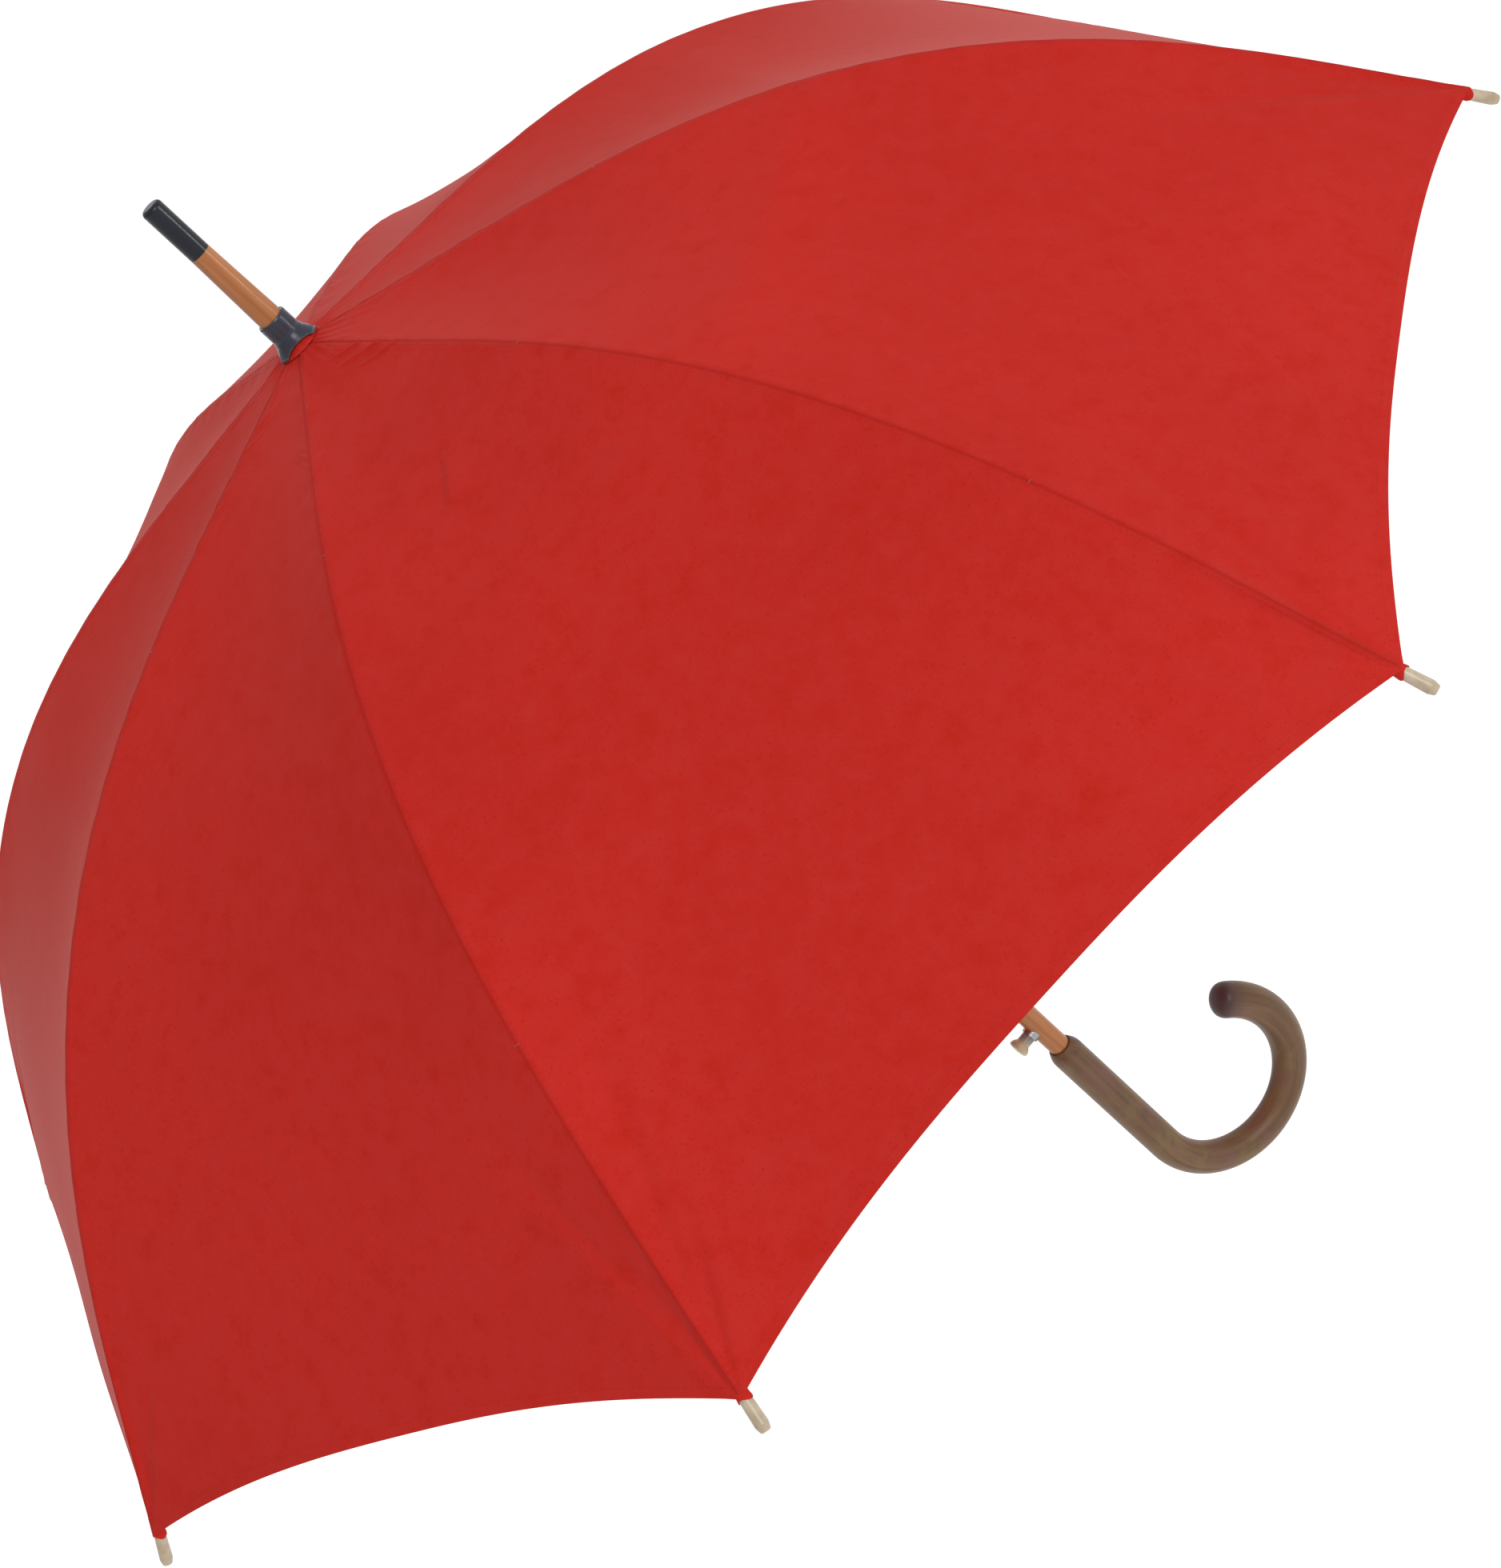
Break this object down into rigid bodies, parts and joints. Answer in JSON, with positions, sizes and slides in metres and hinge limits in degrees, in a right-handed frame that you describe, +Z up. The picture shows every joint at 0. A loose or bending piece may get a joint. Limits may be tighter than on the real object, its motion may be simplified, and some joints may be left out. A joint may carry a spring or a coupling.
{
  "type": "stick umbrella",
  "caption": "Open stick umbrella with a domed fabric canopy on folding steel ribs, a wooden shaft with a metal ferrule, and a J-hook wooden handle",
  "frame": {"origin": "on the shaft axis, at the middle of the straight part of the handle, where the hand holds it", "axes": "+Z up the shaft to the ferrule, +X from the shaft towards the hook of the handle, +Y to the left of +X"},
  "size_m": [0.9892, 0.9892, 0.9025],
  "materials": {
    "canopy_cloth": "smooth plain-weave polyester with a soft sheen",
    "shaft_wood": "varnished orange-brown hardwood",
    "handle_wood": "grey-brown satin wood",
    "dark_metal": "glossy black nickel",
    "rib_steel": "bright steel",
    "tip_plastic": "ivory plastic",
    "hub_metal": "pressed steel"
  },
  "bodies": {
    "mast": {"shaft": "shaft_wood", "ferrule": "dark_metal", "top_cap": "dark_metal", "notch": "hub_metal", "notch_wire": "rib_steel", "handle": "handle_wood", "button_guide": "hub_metal"},
    "button": {"push_button": "tip_plastic"},
    "rib_1": {"rib_inner_1": "rib_steel"},
    "rib_end_1": {"rib_outer_1": "rib_steel", "tip_cap_1": "tip_plastic"},
    "strut_1": {"stretcher_1": "rib_steel"},
    "cloth_inner_1": {"canopy_inner_1": "canopy_cloth"},
    "cloth_outer_1": {"canopy_outer_1": "canopy_cloth"},
    "rib_2": {"rib_inner_2": "rib_steel"},
    "rib_end_2": {"rib_outer_2": "rib_steel", "tip_cap_2": "tip_plastic"},
    "strut_2": {"stretcher_2": "rib_steel"},
    "cloth_inner_2": {"canopy_inner_2": "canopy_cloth"},
    "cloth_outer_2": {"canopy_outer_2": "canopy_cloth"},
    "rib_3": {"rib_inner_3": "rib_steel"},
    "rib_end_3": {"rib_outer_3": "rib_steel", "tip_cap_3": "tip_plastic"},
    "strut_3": {"stretcher_3": "rib_steel"},
    "cloth_inner_3": {"canopy_inner_3": "canopy_cloth"},
    "cloth_outer_3": {"canopy_outer_3": "canopy_cloth"},
    "rib_4": {"rib_inner_4": "rib_steel"},
    "rib_end_4": {"rib_outer_4": "rib_steel", "tip_cap_4": "tip_plastic"},
    "strut_4": {"stretcher_4": "rib_steel"},
    "cloth_inner_4": {"canopy_inner_4": "canopy_cloth"},
    "cloth_outer_4": {"canopy_outer_4": "canopy_cloth"},
    "rib_5": {"rib_inner_5": "rib_steel"},
    "rib_end_5": {"rib_outer_5": "rib_steel", "tip_cap_5": "tip_plastic"},
    "strut_5": {"stretcher_5": "rib_steel"},
    "cloth_inner_5": {"canopy_inner_5": "canopy_cloth"},
    "cloth_outer_5": {"canopy_outer_5": "canopy_cloth"},
    "rib_6": {"rib_inner_6": "rib_steel"},
    "rib_end_6": {"rib_outer_6": "rib_steel", "tip_cap_6": "tip_plastic"},
    "strut_6": {"stretcher_6": "rib_steel"},
    "cloth_inner_6": {"canopy_inner_6": "canopy_cloth"},
    "cloth_outer_6": {"canopy_outer_6": "canopy_cloth"},
    "rib_7": {"rib_inner_7": "rib_steel"},
    "rib_end_7": {"rib_outer_7": "rib_steel", "tip_cap_7": "tip_plastic"},
    "strut_7": {"stretcher_7": "rib_steel"},
    "cloth_inner_7": {"canopy_inner_7": "canopy_cloth"},
    "cloth_outer_7": {"canopy_outer_7": "canopy_cloth"},
    "rib_8": {"rib_inner_8": "rib_steel"},
    "rib_end_8": {"rib_outer_8": "rib_steel", "tip_cap_8": "tip_plastic"},
    "strut_8": {"stretcher_8": "rib_steel"},
    "cloth_inner_8": {"canopy_inner_8": "canopy_cloth"},
    "cloth_outer_8": {"canopy_outer_8": "canopy_cloth"},
    "slider": {"runner": "hub_metal", "runner_wire": "rib_steel"}
  },
  "joints": [
    {"name": "canopy_fold", "type": "hinge", "parent": "mast", "child": "rib_1", "pos_m": [0.01043, 0.00349, 0.6808], "axis": [-0.3173, 0.9483, 0], "range_deg": [0, 73.71]},
    {"name": "rib_1_straighten", "type": "hinge", "parent": "rib_1", "child": "rib_end_1", "pos_m": [0.27334, 0.09146, 0.61099], "axis": [0.3173, -0.9483, 0], "range_deg": [0, 29.47]},
    {"name": "stretcher_1_swing", "type": "hinge", "parent": "rib_1", "child": "strut_1", "pos_m": [0.25581, 0.08559, 0.61354], "axis": [0.3173, -0.9483, 0], "range_deg": [0, 147.44]},
    {"name": "runner_travel", "type": "hinge", "parent": "strut_1", "child": "slider", "pos_m": [0.01043, 0.00349, 0.54627], "axis": [-0.3173, 0.9483, 0], "range_deg": [0, 73.72]},
    {"name": "cloth_1_fold", "type": "hinge", "parent": "mast", "child": "cloth_inner_1", "pos_m": [0.00767, 0.00667, 0.6808], "axis": [-0.6561, 0.7547, 0], "range_deg": [0, 72.67], "deforming": ["canopy_inner_1"]},
    {"name": "cloth_1_straighten", "type": "hinge", "parent": "cloth_inner_1", "child": "cloth_outer_1", "pos_m": [0.20205, 0.17564, 0.61401], "axis": [0.6561, -0.7547, 0], "range_deg": [0, 30.59], "deforming": ["canopy_outer_1"]},
    {"name": "rib_2_fold", "type": "hinge", "parent": "mast", "child": "rib_2", "pos_m": [0.00491, 0.00984, 0.6808], "axis": [-0.8949, 0.4462, 0], "range_deg": [0, 73.71]},
    {"name": "rib_2_straighten", "type": "hinge", "parent": "rib_2", "child": "rib_end_2", "pos_m": [0.12861, 0.25795, 0.61099], "axis": [0.8949, -0.4462, 0], "range_deg": [0, 29.47]},
    {"name": "stretcher_2_swing", "type": "hinge", "parent": "rib_2", "child": "strut_2", "pos_m": [0.12036, 0.2414, 0.61354], "axis": [0.8949, -0.4462, 0], "range_deg": [0, 147.44]},
    {"name": "cloth_2_fold", "type": "hinge", "parent": "mast", "child": "cloth_inner_2", "pos_m": [0.00071, 0.01014, 0.6808], "axis": [-0.9976, 0.0698, 0], "range_deg": [0, 72.67], "deforming": ["canopy_inner_2"]},
    {"name": "cloth_2_straighten", "type": "hinge", "parent": "cloth_inner_2", "child": "cloth_outer_2", "pos_m": [0.01868, 0.26707, 0.61401], "axis": [0.9976, -0.0698, 0], "range_deg": [0, 30.59], "deforming": ["canopy_outer_2"]},
    {"name": "rib_3_fold", "type": "hinge", "parent": "mast", "child": "rib_3", "pos_m": [-0.00349, 0.01043, 0.6808], "axis": [-0.9483, -0.3173, 0], "range_deg": [0, 73.71]},
    {"name": "rib_3_straighten", "type": "hinge", "parent": "rib_3", "child": "rib_end_3", "pos_m": [-0.09146, 0.27334, 0.61099], "axis": [0.9483, 0.3173, 0], "range_deg": [0, 29.47]},
    {"name": "stretcher_3_swing", "type": "hinge", "parent": "rib_3", "child": "strut_3", "pos_m": [-0.08559, 0.25581, 0.61354], "axis": [0.9483, 0.3173, 0], "range_deg": [0, 147.44]},
    {"name": "cloth_3_fold", "type": "hinge", "parent": "mast", "child": "cloth_inner_3", "pos_m": [-0.00667, 0.00767, 0.6808], "axis": [-0.7547, -0.6561, 0], "range_deg": [0, 72.67], "deforming": ["canopy_inner_3"]},
    {"name": "cloth_3_straighten", "type": "hinge", "parent": "cloth_inner_3", "child": "cloth_outer_3", "pos_m": [-0.17564, 0.20205, 0.61401], "axis": [0.7547, 0.6561, 0], "range_deg": [0, 30.59], "deforming": ["canopy_outer_3"]},
    {"name": "rib_4_fold", "type": "hinge", "parent": "mast", "child": "rib_4", "pos_m": [-0.00984, 0.00491, 0.6808], "axis": [-0.4462, -0.8949, 0], "range_deg": [0, 73.71]},
    {"name": "rib_4_straighten", "type": "hinge", "parent": "rib_4", "child": "rib_end_4", "pos_m": [-0.25795, 0.12861, 0.61099], "axis": [0.4462, 0.8949, 0], "range_deg": [0, 29.47]},
    {"name": "stretcher_4_swing", "type": "hinge", "parent": "rib_4", "child": "strut_4", "pos_m": [-0.2414, 0.12036, 0.61354], "axis": [0.4462, 0.8949, 0], "range_deg": [0, 147.44]},
    {"name": "cloth_4_fold", "type": "hinge", "parent": "mast", "child": "cloth_inner_4", "pos_m": [-0.01014, 0.00071, 0.6808], "axis": [-0.0698, -0.9976, 0], "range_deg": [0, 72.67], "deforming": ["canopy_inner_4"]},
    {"name": "cloth_4_straighten", "type": "hinge", "parent": "cloth_inner_4", "child": "cloth_outer_4", "pos_m": [-0.26707, 0.01868, 0.61401], "axis": [0.0698, 0.9976, 0], "range_deg": [0, 30.59], "deforming": ["canopy_outer_4"]},
    {"name": "rib_5_fold", "type": "hinge", "parent": "mast", "child": "rib_5", "pos_m": [-0.01043, -0.00349, 0.6808], "axis": [0.3173, -0.9483, 0], "range_deg": [0, 73.71]},
    {"name": "rib_5_straighten", "type": "hinge", "parent": "rib_5", "child": "rib_end_5", "pos_m": [-0.27334, -0.09146, 0.61099], "axis": [-0.3173, 0.9483, 0], "range_deg": [0, 29.47]},
    {"name": "stretcher_5_swing", "type": "hinge", "parent": "rib_5", "child": "strut_5", "pos_m": [-0.25581, -0.08559, 0.61354], "axis": [-0.3173, 0.9483, 0], "range_deg": [0, 147.44]},
    {"name": "cloth_5_fold", "type": "hinge", "parent": "mast", "child": "cloth_inner_5", "pos_m": [-0.00767, -0.00667, 0.6808], "axis": [0.6561, -0.7547, 0], "range_deg": [0, 72.67], "deforming": ["canopy_inner_5"]},
    {"name": "cloth_5_straighten", "type": "hinge", "parent": "cloth_inner_5", "child": "cloth_outer_5", "pos_m": [-0.20205, -0.17564, 0.61401], "axis": [-0.6561, 0.7547, 0], "range_deg": [0, 30.59], "deforming": ["canopy_outer_5"]},
    {"name": "rib_6_fold", "type": "hinge", "parent": "mast", "child": "rib_6", "pos_m": [-0.00491, -0.00984, 0.6808], "axis": [0.8949, -0.4462, 0], "range_deg": [0, 73.71]},
    {"name": "rib_6_straighten", "type": "hinge", "parent": "rib_6", "child": "rib_end_6", "pos_m": [-0.12861, -0.25795, 0.61099], "axis": [-0.8949, 0.4462, 0], "range_deg": [0, 29.47]},
    {"name": "stretcher_6_swing", "type": "hinge", "parent": "rib_6", "child": "strut_6", "pos_m": [-0.12036, -0.2414, 0.61354], "axis": [-0.8949, 0.4462, 0], "range_deg": [0, 147.44]},
    {"name": "cloth_6_fold", "type": "hinge", "parent": "mast", "child": "cloth_inner_6", "pos_m": [-0.00071, -0.01014, 0.6808], "axis": [0.9976, -0.0698, 0], "range_deg": [0, 72.67], "deforming": ["canopy_inner_6"]},
    {"name": "cloth_6_straighten", "type": "hinge", "parent": "cloth_inner_6", "child": "cloth_outer_6", "pos_m": [-0.01868, -0.26707, 0.61401], "axis": [-0.9976, 0.0698, 0], "range_deg": [0, 30.59], "deforming": ["canopy_outer_6"]},
    {"name": "rib_7_fold", "type": "hinge", "parent": "mast", "child": "rib_7", "pos_m": [0.00349, -0.01043, 0.6808], "axis": [0.9483, 0.3173, 0], "range_deg": [0, 73.71]},
    {"name": "rib_7_straighten", "type": "hinge", "parent": "rib_7", "child": "rib_end_7", "pos_m": [0.09146, -0.27334, 0.61099], "axis": [-0.9483, -0.3173, 0], "range_deg": [0, 29.47]},
    {"name": "stretcher_7_swing", "type": "hinge", "parent": "rib_7", "child": "strut_7", "pos_m": [0.08559, -0.25581, 0.61354], "axis": [-0.9483, -0.3173, 0], "range_deg": [0, 147.44]},
    {"name": "cloth_7_fold", "type": "hinge", "parent": "mast", "child": "cloth_inner_7", "pos_m": [0.00667, -0.00767, 0.6808], "axis": [0.7547, 0.6561, 0], "range_deg": [0, 72.67], "deforming": ["canopy_inner_7"]},
    {"name": "cloth_7_straighten", "type": "hinge", "parent": "cloth_inner_7", "child": "cloth_outer_7", "pos_m": [0.17564, -0.20205, 0.61401], "axis": [-0.7547, -0.6561, 0], "range_deg": [0, 30.59], "deforming": ["canopy_outer_7"]},
    {"name": "rib_8_fold", "type": "hinge", "parent": "mast", "child": "rib_8", "pos_m": [0.00984, -0.00491, 0.6808], "axis": [0.4462, 0.8949, 0], "range_deg": [0, 73.71]},
    {"name": "rib_8_straighten", "type": "hinge", "parent": "rib_8", "child": "rib_end_8", "pos_m": [0.25795, -0.12861, 0.61099], "axis": [-0.4462, -0.8949, 0], "range_deg": [0, 29.47]},
    {"name": "stretcher_8_swing", "type": "hinge", "parent": "rib_8", "child": "strut_8", "pos_m": [0.2414, -0.12036, 0.61354], "axis": [-0.4462, -0.8949, 0], "range_deg": [0, 147.44]},
    {"name": "cloth_8_fold", "type": "hinge", "parent": "mast", "child": "cloth_inner_8", "pos_m": [0.01014, -0.00071, 0.6808], "axis": [0.0698, 0.9976, 0], "range_deg": [0, 72.67], "deforming": ["canopy_inner_8"]},
    {"name": "cloth_8_straighten", "type": "hinge", "parent": "cloth_inner_8", "child": "cloth_outer_8", "pos_m": [0.26707, -0.01868, 0.61401], "axis": [-0.0698, -0.9976, 0], "range_deg": [0, 30.59], "deforming": ["canopy_outer_8"]},
    {"name": "button_press", "type": "slide", "parent": "mast", "child": "button", "axis": [1, 0, 0], "range_m": [0, 0.003], "stiffness_N_per_m": 400, "springref_m": -0.002}
  ],
  "couplings": [
    {"joint": "rib_1_straighten", "follows": "canopy_fold", "ratio": 0.3997},
    {"joint": "stretcher_1_swing", "follows": "canopy_fold", "ratio": 2},
    {"joint": "runner_travel", "follows": "canopy_fold", "ratio": 1},
    {"joint": "cloth_1_fold", "follows": "canopy_fold", "ratio": 0.9857},
    {"joint": "cloth_1_straighten", "follows": "canopy_fold", "ratio": 0.4149},
    {"joint": "rib_2_fold", "follows": "canopy_fold", "ratio": 1},
    {"joint": "rib_2_straighten", "follows": "canopy_fold", "ratio": 0.3997},
    {"joint": "stretcher_2_swing", "follows": "canopy_fold", "ratio": 2},
    {"joint": "cloth_2_fold", "follows": "canopy_fold", "ratio": 0.9857},
    {"joint": "cloth_2_straighten", "follows": "canopy_fold", "ratio": 0.4149},
    {"joint": "rib_3_fold", "follows": "canopy_fold", "ratio": 1},
    {"joint": "rib_3_straighten", "follows": "canopy_fold", "ratio": 0.3997},
    {"joint": "stretcher_3_swing", "follows": "canopy_fold", "ratio": 2},
    {"joint": "cloth_3_fold", "follows": "canopy_fold", "ratio": 0.9857},
    {"joint": "cloth_3_straighten", "follows": "canopy_fold", "ratio": 0.4149},
    {"joint": "rib_4_fold", "follows": "canopy_fold", "ratio": 1},
    {"joint": "rib_4_straighten", "follows": "canopy_fold", "ratio": 0.3997},
    {"joint": "stretcher_4_swing", "follows": "canopy_fold", "ratio": 2},
    {"joint": "cloth_4_fold", "follows": "canopy_fold", "ratio": 0.9857},
    {"joint": "cloth_4_straighten", "follows": "canopy_fold", "ratio": 0.4149},
    {"joint": "rib_5_fold", "follows": "canopy_fold", "ratio": 1},
    {"joint": "rib_5_straighten", "follows": "canopy_fold", "ratio": 0.3997},
    {"joint": "stretcher_5_swing", "follows": "canopy_fold", "ratio": 2},
    {"joint": "cloth_5_fold", "follows": "canopy_fold", "ratio": 0.9857},
    {"joint": "cloth_5_straighten", "follows": "canopy_fold", "ratio": 0.4149},
    {"joint": "rib_6_fold", "follows": "canopy_fold", "ratio": 1},
    {"joint": "rib_6_straighten", "follows": "canopy_fold", "ratio": 0.3997},
    {"joint": "stretcher_6_swing", "follows": "canopy_fold", "ratio": 2},
    {"joint": "cloth_6_fold", "follows": "canopy_fold", "ratio": 0.9857},
    {"joint": "cloth_6_straighten", "follows": "canopy_fold", "ratio": 0.4149},
    {"joint": "rib_7_fold", "follows": "canopy_fold", "ratio": 1},
    {"joint": "rib_7_straighten", "follows": "canopy_fold", "ratio": 0.3997},
    {"joint": "stretcher_7_swing", "follows": "canopy_fold", "ratio": 2},
    {"joint": "cloth_7_fold", "follows": "canopy_fold", "ratio": 0.9857},
    {"joint": "cloth_7_straighten", "follows": "canopy_fold", "ratio": 0.4149},
    {"joint": "rib_8_fold", "follows": "canopy_fold", "ratio": 1},
    {"joint": "rib_8_straighten", "follows": "canopy_fold", "ratio": 0.3997},
    {"joint": "stretcher_8_swing", "follows": "canopy_fold", "ratio": 2},
    {"joint": "cloth_8_fold", "follows": "canopy_fold", "ratio": 0.9857},
    {"joint": "cloth_8_straighten", "follows": "canopy_fold", "ratio": 0.4149}
  ]
}
